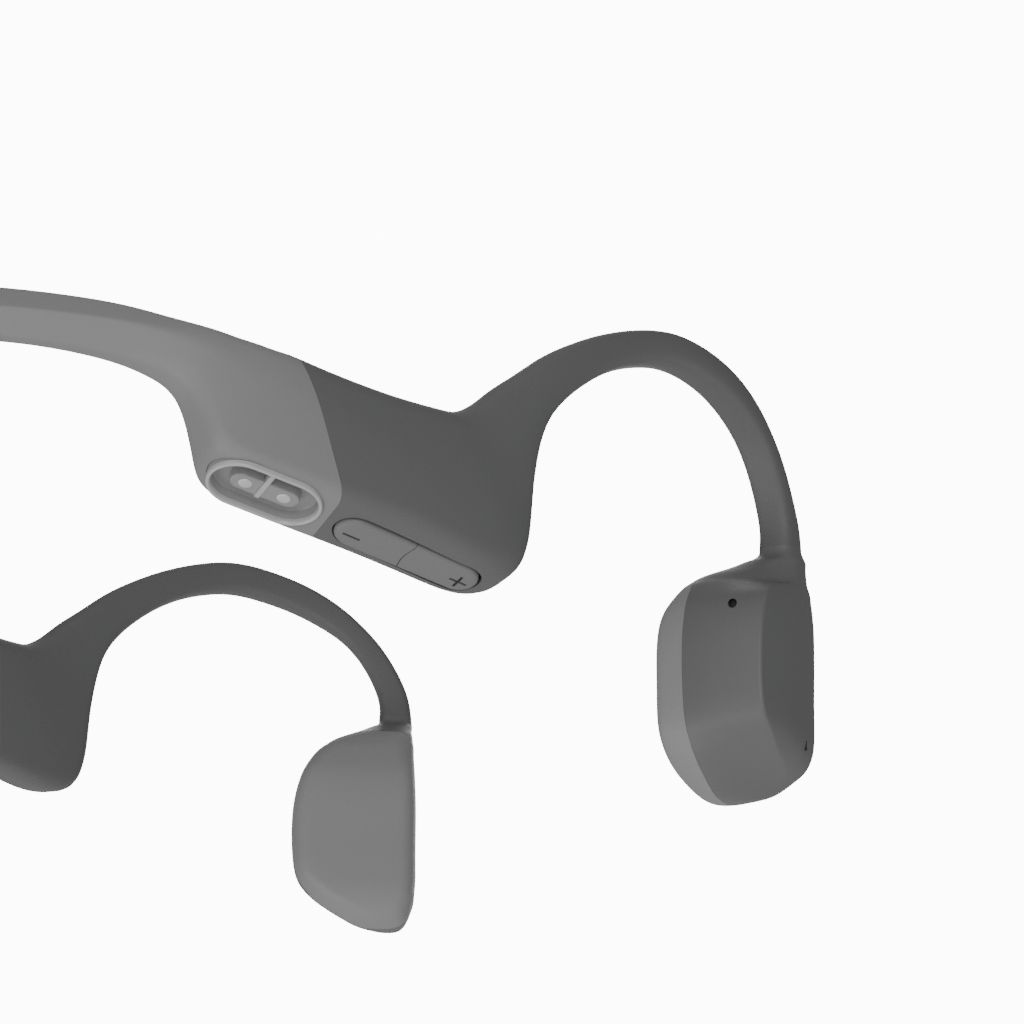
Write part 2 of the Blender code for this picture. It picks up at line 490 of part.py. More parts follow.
# multifunction button in the outer face of the left pod
press = pod_frame(1, 6.2, 0.0, -11.0)
carve(bpy.data.objects["pod_shell_left"], [press.prism(stadium(10.2, 4.4), -2.0, 1.0)])
solid("multifunction_button", *press.prism(stadium(9.6, 3.8), -0.75, 0.15), SHELL, left_side, press.o)
solid("multifunction_switch", *press.prism(block(2.4, 2.0, 0.2), -1.55, -1.15), STEEL, left_side)
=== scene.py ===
# Bone conduction headphones: the detailed pieces, materials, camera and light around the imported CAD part.
# The wearer faces -Y, the right ear is at -X, up is +Z. Tables are in millimetres, the scene in metres.
# Side coordinates: s runs along the band from the nape, n is outwards from its mid surface, z is up.
import math

import bmesh
import bpy
import numpy as np
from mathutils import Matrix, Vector


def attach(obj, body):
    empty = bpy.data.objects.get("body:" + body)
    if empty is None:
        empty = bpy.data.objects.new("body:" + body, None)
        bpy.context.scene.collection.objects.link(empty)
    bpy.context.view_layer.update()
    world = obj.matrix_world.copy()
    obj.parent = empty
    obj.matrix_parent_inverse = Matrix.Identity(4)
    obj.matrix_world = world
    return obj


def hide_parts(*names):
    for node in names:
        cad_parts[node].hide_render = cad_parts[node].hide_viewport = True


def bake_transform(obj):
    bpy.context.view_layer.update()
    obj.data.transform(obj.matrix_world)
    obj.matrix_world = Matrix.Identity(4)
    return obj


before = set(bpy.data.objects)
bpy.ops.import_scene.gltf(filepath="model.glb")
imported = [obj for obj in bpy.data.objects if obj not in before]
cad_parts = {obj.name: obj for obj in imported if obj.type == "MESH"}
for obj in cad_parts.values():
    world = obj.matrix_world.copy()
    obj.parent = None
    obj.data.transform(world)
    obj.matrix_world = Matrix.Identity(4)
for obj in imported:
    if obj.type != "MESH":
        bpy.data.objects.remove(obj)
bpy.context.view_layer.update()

# ---------------------------------------------------------------- driving dimensions, mm
CENTRE_UP = 0.1             # same shift as the CAD part, which centres its bounding box
CENTRE_FORWARD = -0.049
WALL = 0.9                  # skin thickness of sleeve, arm covers and pod shells
SEAM_ROW = 11.0             # row of ARM where the soft boot meets the dark arm cover
SEAM_GAP = 0.002            # half the seam between them, in rows
RING_STEPS = 7              # points on each eased corner of a section
POD_YAW = math.radians(31.0)
POD_AXIS = (39.9, 50.8)     # sideways, forwards
PAD_SPLIT = -2.75           # depth in the pod where the contact pad meets the shell
PORT_LENGTH, PORT_WIDTH = 12.0, 7.1
KEY_LENGTH, KEY_WIDTH = 15.9, 4.3       # both keys together
END_STEPS = 24              # points on the round ends of the port and the keys
MIC_RADIUS = 0.48
HOOK_END_ROW = 31.0         # last row of ARM, where the pod takes over
POD_TOP_ROW = 19.33         # row of POD up to which the pod is built, just inside the hook's end
NECK_ROWS = (17.2, 2.1)     # row of POD where its outline starts to change to the hook's, and over how many rows

# Centre line of one side in plan: sideways, forwards.
PLAN = [(0, -57.8), (21, -55.2), (33.5, -47.5), (40, -37.6), (43.5, -28.1), (46, -17.8), (47.6, -6.9),
        (48.5, 4.5), (49, 19.4), (48, 33), (46, 44), (41.8, 53.9), (35, 66)]

# Arm sections from the nape to the end of the hook.
# top s, top z, bottom s, bottom z, bow | outer half thickness top, ridge, bottom | inner top, bottom
# | ridge height fraction, underside slant | rounding of top edges, ridge, bottom edges
ARM = [
    (0.0, 15.3, 0.0, 10.5, 0, 0.5, 2.15, 0.4, 1.6, 1.6, .53, 0.0, 0.5, .25, 0.5),
    (20.0, 15.3, 20.0, 10.5, 0, 0.5, 2.15, 0.4, 1.6, 1.6, .53, 0.0, 0.5, .25, 0.5),
    (40.0, 15.4, 40.0, 10.4, 0, 0.5, 2.15, 0.4, 1.6, 1.6, .53, 0.0, 0.5, .25, 0.5),
    (50.0, 15.35, 50.0, 10.3, 0, 0.5, 2.25, 0.4, 1.6, 1.6, .53, 0.0, 0.5, .25, 0.5),
    (56.0, 15.1, 56.0, 9.95, 0, 0.65, 2.35, 0.5, 1.7, 1.7, .51, 0.0, 0.6, .3, 0.6),
    (62.0, 14.6, 61.5, 9.25, 0, 1.0, 2.6, 0.9, 2.0, 2.0, .47, 0.1, 0.9, .4, 0.9),
    (67.0, 13.65, 65.5, 8.15, 0, 1.7, 3.0, 1.7, 2.4, 2.4, .40, 0.3, 1.4, .7, 1.3),
    (70.5, 12.85, 68.4, 6.1, .3, 2.5, 3.4, 2.7, 2.9, 3.0, .32, 0.7, 1.9, 1.2, 1.8),
    (73.0, 12.25, 70.2, 1.7, .8, 2.9, 3.8, 3.4, 3.3, 3.7, .28, 1.3, 2.2, 1.8, 1.8),
    (74.9, 11.85, 71.9, -1.1, 1.2, 3.2, 4.1, 3.9, 3.6, 4.1, .28, 1.9, 2.4, 2.2, 1.4),
    (76.6, 11.45, 76.9, -2.8, 1.0, 3.4, 4.3, 4.2, 3.8, 4.3, .30, 2.2, 2.4, 2.5, 1.3),
    (78.7, 11.05, 83.5, -4.5, .35, 3.5, 4.3, 4.2, 3.9, 4.3, .32, 2.2, 2.4, 3.0, 1.8),
    (82.6, 10.05, 88.8, -5.8, .3, 3.5, 4.3, 4.2, 3.9, 4.3, .40, 2.2, 2.4, 3.0, 2.2),
    (89.0, 8.9, 94.4, -7.4, .3, 3.3, 4.3, 4.2, 3.8, 4.2, .50, 2.0, 2.4, 3.0, 2.4),
    (94.5, 8.45, 99.1, -8.55, 0.4, 3.0, 4.1, 4.0, 3.4, 4.0, .50, 1.6, 2.4, 3.0, 2.4),
    (97.0, 8.7, 102.8, -8.0, 0.2, 2.7, 3.8, 3.6, 3.0, 3.6, .50, 1.1, 2.6, 3.0, 2.6),
    (99.3, 10.0, 104.8, -5.2, 0, 2.4, 3.3, 3.0, 2.6, 3.1, .50, 0.6, 2.8, 3.0, 2.8),
    (101.6, 12.0, 105.5, -0.6, 0, 2.1, 2.9, 2.6, 2.3, 2.6, .50, 0.3, 2.8, 3.0, 2.8),
    (104.2, 14.0, 106.2, 4.4, 0, 1.9, 2.6, 2.2, 2.1, 2.3, .50, 0.1, 2.8, 3.0, 2.8),
    (107.0, 16.2, 107.8, 9.3, 0, 1.8, 2.4, 2.0, 2.0, 2.1, .50, 0.0, 2.8, 3.0, 2.8),
    (109.9, 18.1, 111.4, 13.5, 0, 1.7, 2.3, 1.9, 1.9, 2.0, .50, 0.0, 2.8, 3.0, 2.8),
    (114.5, 20.4, 116.1, 16.8, 0, 1.7, 2.2, 1.8, 1.9, 1.9, .50, 0.0, 2.8, 3.0, 2.8),
    (119.5, 22.1, 120.5, 18.5, 0, 1.6, 2.1, 1.7, 1.8, 1.8, .50, 0.0, 2.8, 3.0, 2.8),
    (124.0, 22.8, 124.1, 19.1, 0, 1.6, 2.1, 1.7, 1.8, 1.8, .50, 0.0, 2.8, 3.0, 2.8),
    (128.5, 22.3, 127.6, 18.8, 0, 1.6, 2.1, 1.7, 1.8, 1.8, .50, 0.0, 2.8, 3.0, 2.8),
    (133.3, 20.8, 131.8, 17.65, 0, 1.6, 2.1, 1.7, 1.8, 1.8, .50, 0.0, 2.8, 3.0, 2.8),
    (137.3, 18.6, 135.6, 15.85, 0, 1.6, 2.1, 1.7, 1.8, 1.8, .50, 0.0, 2.8, 3.0, 2.8),
    (140.2, 16.2, 138.35, 13.95, 0, 1.6, 2.1, 1.7, 1.8, 1.8, .50, 0.0, 2.8, 3.0, 2.8),
    (142.7, 13.5, 140.45, 11.5, 0, 1.6, 2.1, 1.7, 1.8, 1.8, .50, 0.0, 2.8, 3.0, 2.8),
    (144.8, 10.3, 142.0, 8.65, 0, 1.6, 2.1, 1.7, 1.8, 1.8, .50, 0.0, 2.8, 3.0, 2.8),
    (146.2, 7.1, 142.75, 6.2, 0, 1.7, 2.1, 1.7, 1.8, 1.8, .50, 0.0, 2.8, 3.0, 2.8),
    (146.7, 4.3, 142.75, 4.3, 0, 1.7, 2.2, 1.7, 1.9, 1.9, .50, 0.0, 2.8, 3.0, 2.8),
]

# Pod sections from the bottom up: z | rear, front | pad side, outer side | insets | rounding pad, mid, outer
POD = [
    (-23.0, 1.9, 4.5, -2.8, -0.8, 1.0, 1.0, 1.0, 2.0, 1.0),
    (-22.75, 0.1, 5.4, -4.4, 0.6, 2.0, 3.5, 1.8, 3.0, 2.0),
    (-22.2, -1.6, 6.2, -5.45, 2.0, 3.0, 6.0, 1.8, 4.0, 2.0),
    (-21.3, -3.2, 6.7, -6.15, 3.4, 3.2, 7.4, 1.8, 4.0, 1.0),
    (-20.4, -4.4, 7.0, -6.5, 4.6, 2.8, 6.7, 1.6, 4.0, 0.5),
    (-19.4, -5.4, 7.3, -6.65, 5.45, 2.2, 4.2, 1.4, 4.0, 0.4),
    (-18.2, -6.25, 7.4, -6.7, 6.0, 1.6, 2.5, 1.4, 4.0, 0.4),
    (-16.9, -6.95, 7.5, -6.65, 6.25, 1.2, 1.2, 1.4, 4.0, 0.4),
    (-14.9, -7.45, 7.5, -6.6, 6.35, 1.1, 0.65, 1.4, 4.0, 0.4),
    (-11.8, -7.7, 7.5, -6.5, 6.4, 1.1, 0.6, 1.4, 4.0, 0.4),
    (-8.0, -7.6, 7.5, -6.5, 6.5, 1.1, 0.6, 1.4, 4.0, 0.4),
    (-4.9, -7.0, 7.4, -6.3, 6.55, 1.1, 0.7, 1.4, 4.0, 0.4),
    (-2.9, -6.2, 7.3, -5.75, 6.45, 1.1, 1.4, 1.8, 4.0, 0.4),
    (-1.3, -5.1, 7.2, -5.1, 6.25, 1.1, 3.8, 2.2, 3.0, 0.4),
    (-0.5, -4.2, 7.2, -4.6, 6.1, 1.1, 5.4, 2.3, 3.0, 0.5),
    (0.4, -3.0, 7.1, -3.8, 5.95, 1.1, 5.2, 2.5, 3.0, 1.2),
    (1.4, -1.0, 7.0, -2.5, 5.9, 1.1, 3.4, 2.6, 3.0, 2.0),
    (2.3, 0.6, 6.9, -1.0, 5.9, 1.0, 2.0, 2.6, 3.0, 2.6),
    (3.1, 1.7, 7.0, 0.0, 5.95, .9, 1.2, 2.6, 3.0, 2.6),
    (4.0, 2.5, 7.1, 0.95, 5.95, .8, .8, 2.6, 3.0, 2.6),
]


# ---------------------------------------------------------------- curves and sections
def spline(rows, at, knots=None):
    """Natural cubic spline through the rows, evaluated at the given positions."""
    y = np.asarray(rows, float)
    count = len(y)
    x = np.arange(count, dtype=float) if knots is None else np.asarray(knots, float)
    at = np.atleast_1d(np.asarray(at, float))
    h = np.diff(x)
    matrix, right = np.zeros((count, count)), np.zeros_like(y)
    matrix[0, 0] = matrix[-1, -1] = 1.0
    for i in range(1, count - 1):
        matrix[i, i - 1:i + 2] = h[i - 1], 2 * (h[i - 1] + h[i]), h[i]
        right[i] = 6 * ((y[i + 1] - y[i]) / h[i] - (y[i] - y[i - 1]) / h[i - 1])
    bend = np.linalg.solve(matrix, right)
    k = np.clip(np.searchsorted(x, at, side="right") - 1, 0, count - 2)
    up, down, hk = (at - x[k])[:, None], (x[k + 1] - at)[:, None], h[k][:, None]
    return ((bend[k] * down ** 3 + bend[k + 1] * up ** 3) / (6 * hk)
            + (y[k] / hk - bend[k] * hk / 6) * down + (y[k + 1] / hk - bend[k + 1] * hk / 6) * up)


PLAN_CHORD = np.r_[0, np.cumsum(np.linalg.norm(np.diff(np.array(PLAN, float), axis=0), axis=1))]
PLAN_FINE = spline(PLAN, np.linspace(0, PLAN_CHORD[-1], 1500), PLAN_CHORD)
PLAN_S = np.r_[0, np.cumsum(np.linalg.norm(np.diff(PLAN_FINE, axis=0), axis=1))]
PLAN_DIR = np.gradient(PLAN_FINE, axis=0)
PLAN_DIR /= np.linalg.norm(PLAN_DIR, axis=1)[:, None]


def place(snz, side):
    """Side coordinates (s, n, z) to scene millimetres; side is -1 for the right ear, +1 for the left."""
    s, n, z = np.asarray(snz, float).reshape(-1, 3).T
    spot = np.stack([np.interp(s, PLAN_S, PLAN_FINE[:, i]) for i in (0, 1)], -1)
    ahead = np.stack([np.interp(s, PLAN_S, PLAN_DIR[:, i]) for i in (0, 1)], -1)
    spot = spot + n[:, None] * np.stack([ahead[:, 1], -ahead[:, 0]], -1)
    return np.stack([side * spot[:, 0], -spot[:, 1] + CENTRE_FORWARD, z + CENTRE_UP], -1)


def rounded(corners, radii, steps=RING_STEPS):
    """Closed outline with each corner eased by a short curve; a zero radius keeps the plain corner."""
    corners, out = [np.asarray(c, float) for c in corners], []
    for k, corner in enumerate(corners):
        before, after = corners[k - 1] - corner, corners[(k + 1) % len(corners)] - corner
        if radii[k] == 0:
            out.append(corner)
            continue
        a, b = (v / np.linalg.norm(v) * min(radii[k], 0.46 * np.linalg.norm(v)) for v in (before, after))
        for t in np.linspace(0, 1, steps):
            out.append(corner + (1 - t) ** 2 * a + t ** 2 * b)
    return np.array(out)


def arm_section(row, inset=0.0):
    """Closed section of the arm in side coordinates, walls drawn in by the inset."""
    st, zt, sb, zb, bow, ot, ridge, ob, it, ib, frac, slant, r_top, r_ridge, r_bottom = row
    length = math.hypot(sb - st, zb - zt)

    def corner(v, n):
        v = (v * (length - 2 * inset) + inset) / length
        tilt = v * slant * n / (ob + ib)
        return st + (sb - st) * v + bow * 4 * v * (1 - v), n, zt + (zb - zt) * v + tilt

    corners = [corner(0, inset - it), corner(0, ot - inset), corner(frac, ridge - inset),
               corner(1, ob - inset), corner(1, inset - ib), corner(0.5, inset - (it + ib) / 2)]
    radii = [max(r - 0.8 * inset, 0.15) for r in (r_top, r_top, r_ridge, r_bottom, r_bottom)] + [0]
    return rounded(corners, radii)


def arm_rings(rows_at, side, inset=0.0):
    """Sections of the arm at the given rows of ARM, walls drawn in by the inset."""
    return [place(arm_section(row, inset), side) for row in spline(ARM, rows_at)]


def arm_line(rows_at, side, fraction, n=0.0):
    """Line running inside the arm at a height fraction of its sections."""
    rows = spline(ARM, rows_at)
    s = rows[:, 0] + (rows[:, 2] - rows[:, 0]) * fraction
    z = rows[:, 1] + (rows[:, 3] - rows[:, 1]) * fraction
    return place(np.stack([s, np.full(len(s), n), z], -1), side)


def pod_place(wtz, side):
    """Pod coordinates (forwards w, outwards t, z) to scene millimetres."""
    w, t, z = np.asarray(wtz, float).reshape(-1, 3).T
    across = POD_AXIS[0] - math.sin(POD_YAW) * w + math.cos(POD_YAW) * t
    ahead = POD_AXIS[1] + math.cos(POD_YAW) * w + math.sin(POD_YAW) * t
    return np.stack([side * across, -ahead + CENTRE_FORWARD, z + CENTRE_UP], -1)


def pod_rings(rows_at, side, inset=0.0, squeeze=0.0):
    """Sections of the pod, walls drawn in by the inset and both ends drawn in by the squeeze."""
    rings = []
    for z, rear, front, pad, outer, e_pad, e_out, r_pad, r_mid, r_out in spline(POD, rows_at):
        rear, front, pad, outer = rear + inset, front - inset, pad + inset, outer - inset
        waist = pad + 0.38 * (outer - pad)
        left, right = rear + e_out, front - min(e_out, 0.6)
        crown = 0.045 * (right - left)
        corners = [(rear + e_pad, pad), (rear, waist), (left, outer - crown / 2),
                   ((left + right) / 2, outer + crown), (right, outer - crown / 2), (front, waist),
                   (front - min(e_pad, 0.6), pad)]
        radii = [max(r - 0.7 * inset, 0.2) for r in (r_pad, r_mid, r_out, 6.0, r_out, r_mid, r_pad)]
        ring = rounded(corners, radii)
        level = z - squeeze * min(max((z + 12.0) / 11.0, -1.0), 1.0)
        rings.append(pod_place(np.column_stack([ring, np.full(len(ring), level)]), side))
    return rings


# ---------------------------------------------------------------- meshes
def smooth(mesh, sharp):
    """Smooth shading, with edges kept sharp above the angle in degrees."""
    mesh.shade_smooth()
    mesh.set_sharp_from_angle(angle=math.radians(sharp))


def solid(name, points, faces, skin, sharp=40):
    """Mesh object from millimetre points, with outward normals and smooth shading."""
    mesh = bpy.data.meshes.new(name)
    mesh.from_pydata([tuple(p) for p in np.asarray(points, float) / 1000.0], [], faces)
    work = bmesh.new()
    work.from_mesh(mesh)
    bmesh.ops.recalc_face_normals(work, faces=work.faces)
    work.to_mesh(mesh)
    work.free()
    mesh.materials.append(skin)
    thing = bpy.data.objects.new(name, mesh)
    bpy.context.scene.collection.objects.link(thing)
    smooth(mesh, sharp)
    return thing


def bridge(count, start_a, start_b):
    """Quads between two rings of equal count."""
    return [(start_a + j, start_a + (j + 1) % count, start_b + (j + 1) % count, start_b + j)
            for j in range(count)]


def loft(rings):
    """Closed solid through rings of equal count, each end closed by a fan on its middle point."""
    count, points, faces = len(rings[0]), list(np.vstack(rings)), []
    for i in range(len(rings) - 1):
        faces += bridge(count, i * count, (i + 1) * count)
    for ring, start in ((rings[0], 0), (rings[-1], (len(rings) - 1) * count)):
        points.append(ring.mean(0))
        faces += [(start + j, start + (j + 1) % count, len(points) - 1) for j in range(count)]
    return points, faces


def tube(outer, inner):
    """Open ended hollow skin between two matching sets of rings."""
    count, levels = len(outer[0]), len(outer)
    shift, faces = count * levels, []
    for base in (0, shift):
        for i in range(levels - 1):
            faces += bridge(count, base + i * count, base + (i + 1) * count)
    faces += bridge(count, 0, shift) + bridge(count, shift - count, 2 * shift - count)
    return np.vstack(outer + inner), faces


def rod(line, radius, sides=16):
    """Round bar along a line of points."""
    line = np.asarray(line, float)
    ahead = np.gradient(line, axis=0)
    rings, up = [], np.array([0.31, 0.17, 0.93])
    for spot, way in zip(line, ahead):
        way = way / np.linalg.norm(way)
        up = up - way * (up @ way)
        up /= np.linalg.norm(up)
        side = np.cross(way, up)
        turn = [2 * math.pi * k / sides for k in range(sides)]
        rings.append(np.array([spot + radius * (math.cos(a) * up + math.sin(a) * side) for a in turn]))
    return loft(rings)


class Frame:
    """Local axes in scene millimetres: u and v span a face, w points away from it."""

    def __init__(self, origin, u, w):
        self.o, self.u, self.w = (np.asarray(a, float) for a in (origin, u, w))
        self.u /= np.linalg.norm(self.u)
        self.w -= self.u * (self.w @ self.u)
        self.w /= np.linalg.norm(self.w)
        self.v = np.cross(self.w, self.u)

    def at(self, u, v, w):
        """Scene position of a point given in the local axes."""
        return self.o + u * self.u + v * self.v + w * self.w

    def sweep(self, outlines, depths):
        """Closed solid whose outline changes with depth; all outlines have equal counts."""
        return loft([np.array([self.at(u, v, w) for u, v in line]) for line, w in zip(outlines, depths)])

    def prism(self, outline, low, high, ease=0.0):
        """Straight prism; its edges are eased by a small round when asked."""
        if not ease:
            return self.sweep([outline, outline], [low, high])
        rims = [(ease * (1 - math.sin(a)), ease * (1 - math.cos(a))) for a in np.linspace(0, math.pi / 2, 4)]
        lines = [shrink(outline, i) for i, _ in rims] + [shrink(outline, i) for i, _ in rims[::-1]]
        depths = [low + d for _, d in rims] + [high - d for _, d in rims[::-1]]
        return self.sweep(lines, depths)


def shrink(outline, inset):
    """Outline moved inwards by the inset."""
    line = np.asarray(outline, float)
    before, after = line - np.roll(line, 1, 0), np.roll(line, -1, 0) - line
    before /= np.linalg.norm(before, axis=1)[:, None]
    after /= np.linalg.norm(after, axis=1)[:, None]
    turn = before + after
    turn /= np.linalg.norm(turn, axis=1)[:, None]
    normal = np.column_stack([-turn[:, 1], turn[:, 0]])
    grow = 1.0 / np.clip(np.sum(before * turn, axis=1), 0.5, 1.0)
    return line + normal * (inset * grow)[:, None]


def stadium(length, width, steps=16, centre=(0.0, 0.0)):
    """Outline with round ends, long side along u, running counterclockwise."""
    radius, half, out = width / 2, (length - width) / 2, []
    for end in (1, -1):
        for k in range(steps + 1):
            a = -math.pi / 2 + math.pi * k / steps
            out.append((centre[0] + end * (half + radius * math.cos(a)),
                        centre[1] + end * radius * math.sin(a)))
    return out


def block(length, width, corner=0.4, centre=(0.0, 0.0)):
    """Rectangle with eased corners, running counterclockwise."""
    a, b = length / 2, width / 2
    spots = [(centre[0] + x, centre[1] + y) for x, y in ((-a, -b), (a, -b), (a, b), (-a, b))]
    return [tuple(p) for p in rounded(spots, [corner] * 4)]


def disc(radius, centre=(0.0, 0.0), sides=40):
    """Circular outline."""
    turn = [2 * math.pi * k / sides for k in range(sides)]
    return [(centre[0] + radius * math.cos(a), centre[1] + radius * math.sin(a)) for a in turn]


def shape(target, cutters, kind="DIFFERENCE"):
    """Cut the closed shapes (points, faces) out of the target, or keep only what they share with it."""
    for points, faces in cutters:
        cutter = solid("cutter", points, faces, target.data.materials[0])
        cutting = target.modifiers.new("cut", "BOOLEAN")
        cutting.operation, cutting.solver, cutting.object = kind, "EXACT", cutter
        bpy.context.view_layer.update()
        seen = target.evaluated_get(bpy.context.evaluated_depsgraph_get())
        made = bpy.data.meshes.new_from_object(seen)
        target.modifiers.clear()
        target.data = made
        bpy.data.objects.remove(cutter, do_unlink=True)
    return target


# ---------------------------------------------------------------- materials
BROAD_GRAIN = 60.0          # scale of the slow change of colour
ROUGHNESS_SWING = 0.05      # how far the roughness moves to either side
RELIEF = 0.00004            # depth of the fine relief, metres


def surface(name, colour, roughness, grain=2600.0, bump=0.10, spread=0.05, metallic=0.0, coat=0.0,
            specular=0.5, streaks=False):
    """Principled material with fine procedural grain in colour, roughness and relief."""
    made = bpy.data.materials.new(name)
    made.use_nodes = True
    tree = made.node_tree
    shader = tree.nodes["Principled BSDF"]
    shader.inputs["Metallic"].default_value = metallic
    shader.inputs["Coat Weight"].default_value = coat
    shader.inputs["Specular IOR Level"].default_value = specular
    place_on = tree.nodes.new("ShaderNodeTexCoord")
    fine, broad = tree.nodes.new("ShaderNodeTexNoise"), tree.nodes.new("ShaderNodeTexNoise")
    fine.inputs["Scale"].default_value = grain
    fine.inputs["Detail"].default_value = 3.0
    broad.inputs["Scale"].default_value = BROAD_GRAIN
    broad.inputs["Detail"].default_value = 2.0
    if streaks:
        stretch = tree.nodes.new("ShaderNodeMapping")
        stretch.inputs["Scale"].default_value = (1.0, 1.0, 0.04)
        tree.links.new(place_on.outputs["Object"], stretch.inputs["Vector"])
        tree.links.new(stretch.outputs["Vector"], fine.inputs["Vector"])
    else:
        tree.links.new(place_on.outputs["Object"], fine.inputs["Vector"])
    tree.links.new(place_on.outputs["Object"], broad.inputs["Vector"])
    tint = tree.nodes.new("ShaderNodeMix")
    tint.data_type = "RGBA"
    tint.inputs["A"].default_value = (*[c * (1 - spread) for c in colour], 1.0)
    tint.inputs["B"].default_value = (*[min(c * (1 + spread), 1.0) for c in colour], 1.0)
    blend = tree.nodes.new("ShaderNodeMath")
    blend.operation = "MULTIPLY_ADD"
    blend.inputs[1].default_value = 0.5
    tree.links.new(fine.outputs["Fac"], blend.inputs[0])
    half = tree.nodes.new("ShaderNodeMath")
    half.operation = "MULTIPLY"
    half.inputs[1].default_value = 0.5
    tree.links.new(broad.outputs["Fac"], half.inputs[0])
    tree.links.new(half.outputs[0], blend.inputs[2])
    tree.links.new(blend.outputs[0], tint.inputs["Factor"])
    tree.links.new(tint.outputs["Result"], shader.inputs["Base Color"])
    rough = tree.nodes.new("ShaderNodeMapRange")
    rough.inputs["To Min"].default_value = max(roughness - ROUGHNESS_SWING, 0.02)
    rough.inputs["To Max"].default_value = min(roughness + ROUGHNESS_SWING, 1.0)
    tree.links.new(fine.outputs["Fac"], rough.inputs["Value"])
    tree.links.new(rough.outputs["Result"], shader.inputs["Roughness"])
    relief = tree.nodes.new("ShaderNodeBump")
    relief.inputs["Strength"].default_value = bump
    relief.inputs["Distance"].default_value = RELIEF
    tree.links.new(fine.outputs["Fac"], relief.inputs["Height"])
    tree.links.new(relief.outputs["Normal"], shader.inputs["Normal"])
    return made


SOFT = surface("light_silicone", (0.225, 0.225, 0.228), 0.62)
DARK = surface("dark_silicone", (0.112, 0.112, 0.115), 0.6)
SHELL = surface("pod_plastic", (0.122, 0.122, 0.125), 0.5)
PAD = surface("pad_silicone", (0.242, 0.242, 0.244), 0.6)
# Volume keys: coloured lighter than the dark arm silicone as painted light, standing in for the lamp light their
# downward faces catch.
KEY_SILICONE_PAINTED_LIGHT = surface("key_silicone_painted_light", (0.165, 0.165, 0.168), 0.55)
# Port rim and rib: a lighter, coated trim, its colour raised further as a painted highlight for the rim's bright
# edges.
RIM_TRIM_AND_PAINTED_HIGHLIGHT = surface("port_rim_painted_highlight", (0.44, 0.44, 0.445), 0.3, coat=0.5)
WELL = surface("port_well", (0.27, 0.27, 0.274), 0.4)
MARK = surface("key_mark", (0.02, 0.02, 0.021), 0.6)
STEEL = surface("steel", (0.55, 0.55, 0.56), 0.3, 900.0, 0.05, 0.06, 1.0, streaks=True)
TITANIUM = surface("titanium_wire", (0.45, 0.43, 0.41), 0.35, 900.0, 0.05, 0.08, 1.0)
COPPER = surface("copper_coil", (0.72, 0.33, 0.16), 0.35, 5200.0, 0.4, 0.25, 1.0)
MAGNET = surface("magnet_nickel", (0.62, 0.61, 0.58), 0.22, 900.0, 0.03, 0.05, 1.0)
GOLD = surface("contact_plating", (0.66, 0.65, 0.63), 0.5, 900.0, 0.03, 0.05, 0.7)
BOARD = surface("circuit_board", (0.02, 0.12, 0.06), 0.45, 700.0, 0.15, 0.35)
BLACK = surface("black_plastic", (0.012, 0.012, 0.013), 0.5)
FOIL = surface("battery_foil", (0.32, 0.33, 0.36), 0.4, 400.0, 0.3, 0.15, 0.8)
INSULATION = surface("cable_insulation", (0.03, 0.03, 0.035), 0.45)

CAD_FINISH = {
    BOARD: ["main_pcb", "battery_protection_board"], FOIL: ["battery"],
    STEEL: ["processor_shield", "volume_down_switch", "volume_up_switch", "multifunction_switch",
            "microphone_right", "driver_yoke_right", "driver_yoke_left", "driver_top_plate_right",
            "driver_top_plate_left", "spring_plate_right", "spring_plate_left"],
    MAGNET: ["driver_magnet_right", "driver_magnet_left", "port_magnet_1", "port_magnet_2"],
    COPPER: ["voice_coil_right", "voice_coil_left"],
    TITANIUM: ["hook_wire_right", "hook_wire_left"], INSULATION: ["hook_cable_right", "hook_cable_left"],
}
for skin, names in CAD_FINISH.items():
    for name in names:
        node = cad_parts[name]
        node.data.materials.clear()
        node.data.materials.append(skin)


# ---------------------------------------------------------------- local axes of the fitted pieces
def underside(s, n, z, side, lean=0.26, drop=-0.245):
    """Axes on the slanted underside of an arm: u forwards along it, w out of it."""
    here, ahead = place([(s, n, z), (s + 1.0, n, z + drop)], side)
    outer = place([(s, n + 1.0, z + lean)], side)[0]
    along, across = ahead - here, outer - here
    face = np.cross(along, across)
    return Frame(here, along, face if face[2] < 0 else -face)


def pod_frame(side, t, w=0.0, z=-12.0):
    """Axes in a pod: u upwards, w outwards along the pod normal."""
    here, out, up = pod_place([(w, t, z), (w, t + 1.0, z), (w, t, z + 1.0)], side)
    return Frame(here, up - here, out - here)


# ---------------------------------------------------------------- neckband
band_rows = np.r_[np.linspace(0, 4, 61), np.linspace(4, SEAM_ROW - SEAM_GAP, 57)[1:]]


def whole_band(inset):
    """Sections of the soft sleeve from the left seam round the nape to the right seam."""
    return arm_rings(band_rows[::-1], 1, inset) + arm_rings(band_rows[1:], -1, inset)


sleeve = solid("neckband_sleeve", *tube(whole_band(0.0), whole_band(WALL)), SOFT, 30)
port = underside(76.75, 0.3, -3.0, -1)
shape(sleeve, [port.prism(stadium(PORT_LENGTH, PORT_WIDTH, END_STEPS), -3.0, 2.5)])
smooth(sleeve.data, 30)
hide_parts("sleeve_nape", "sleeve_right", "sleeve_left")
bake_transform(sleeve)

for name, fraction, skin, slot in (("neckband_wire", 0.38, TITANIUM, "titanium_wire"),
                                   ("neckband_cable", 0.60, INSULATION, "cable_insulation")):
    rows = np.r_[np.linspace(0, 4, 41), np.linspace(4, 7, 13)[1:]]
    line = np.vstack([arm_line(rows[::-1], 1, fraction, -0.2), arm_line(rows[1:], -1, fraction, -0.2)])
    run = solid(f"{name}_run", *rod(line, 0.35), skin)
    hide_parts(name)
    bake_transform(run)

